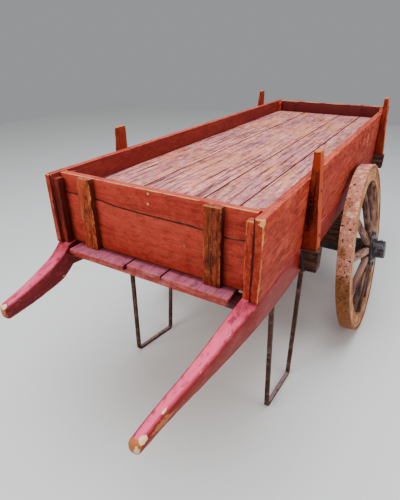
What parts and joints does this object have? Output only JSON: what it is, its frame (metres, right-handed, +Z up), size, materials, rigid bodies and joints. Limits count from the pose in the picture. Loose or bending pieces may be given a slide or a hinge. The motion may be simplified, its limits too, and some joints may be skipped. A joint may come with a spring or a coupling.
{
  "type": "two-wheeled hay cart",
  "caption": "Two-wheeled wooden hand cart for hay: a long shallow box on spoked iron-tyred wheels, with two short shafts and two iron prop legs.",
  "frame": {"origin": "on the ground below the middle of the overall length and width", "axes": "+X to the side the picture shows, -Y towards the shafts, +Z up"},
  "size_m": [1.2764, 2.745, 1.144],
  "materials": {
    "painted_wood": "satin",
    "shaft_wood": "satin",
    "deck_wood": "matte",
    "post_wood": "matte",
    "cleat_wood": "matte",
    "dark_wood": "matte",
    "wheel_wood": "matte",
    "spoke_wood": "matte",
    "tyre_iron": "matte",
    "hub_iron": "satin",
    "leg_iron": "matte",
    "axle_iron": "matte"
  },
  "bodies": {
    "cart": {"sill_shaft_left": "shaft_wood", "sill_shaft_right": "shaft_wood", "bolster_front": "dark_wood", "bolster_rear": "dark_wood", "axle_bolster": "dark_wood", "axle_bed": "dark_wood", "axle_bar": "axle_iron", "axle_nuts": "axle_iron", "axle_straps": "axle_iron", "floor_planks": "shaft_wood", "end_rails": "shaft_wood", "side_board_left": "painted_wood", "side_board_right": "painted_wood", "post_front_left": "post_wood", "post_front_right": "post_wood", "post_rear_left": "post_wood", "post_rear_right": "post_wood", "deck_plank_1": "deck_wood", "deck_plank_2": "deck_wood", "deck_plank_3": "deck_wood", "deck_plank_4": "deck_wood", "deck_bearers": "dark_wood", "deck_ledgers": "dark_wood", "corner_battens_front": "painted_wood", "corner_battens_rear": "painted_wood", "leg_left": "leg_iron", "leg_right": "leg_iron", "leg_plates": "leg_iron"},
    "wheel_left": {"tyre_left": "tyre_iron", "felloes_left": "wheel_wood", "spokes_left": "spoke_wood", "hub_left": "hub_iron", "hub_cap_left": "hub_iron"},
    "wheel_right": {"tyre_right": "tyre_iron", "felloes_right": "wheel_wood", "spokes_right": "spoke_wood", "hub_right": "hub_iron", "hub_cap_right": "hub_iron"},
    "front_board": {"front_board_lower": "painted_wood", "front_board_upper": "painted_wood", "front_board_cleats": "cleat_wood"},
    "rear_board": {"rear_board_lower": "painted_wood", "rear_board_upper": "painted_wood", "rear_board_cleats": "cleat_wood"}
  },
  "joints": [
    {"name": "wheel_left_spin", "type": "hinge", "parent": "cart", "child": "wheel_left", "pos_m": [-0.513, 0.3235, 0.44802], "axis": [0.9903, 0, -0.1392], "continuous": true},
    {"name": "wheel_right_spin", "type": "hinge", "parent": "cart", "child": "wheel_right", "pos_m": [0.513, 0.3235, 0.44802], "axis": [0.9903, 0, 0.1392], "continuous": true},
    {"name": "front_board_lift", "type": "slide", "parent": "cart", "child": "front_board", "axis": [0, 0, 1], "range_m": [0, 0.26]},
    {"name": "rear_board_lift", "type": "slide", "parent": "cart", "child": "rear_board", "axis": [0, 0, 1], "range_m": [0, 0.26]}
  ]
}
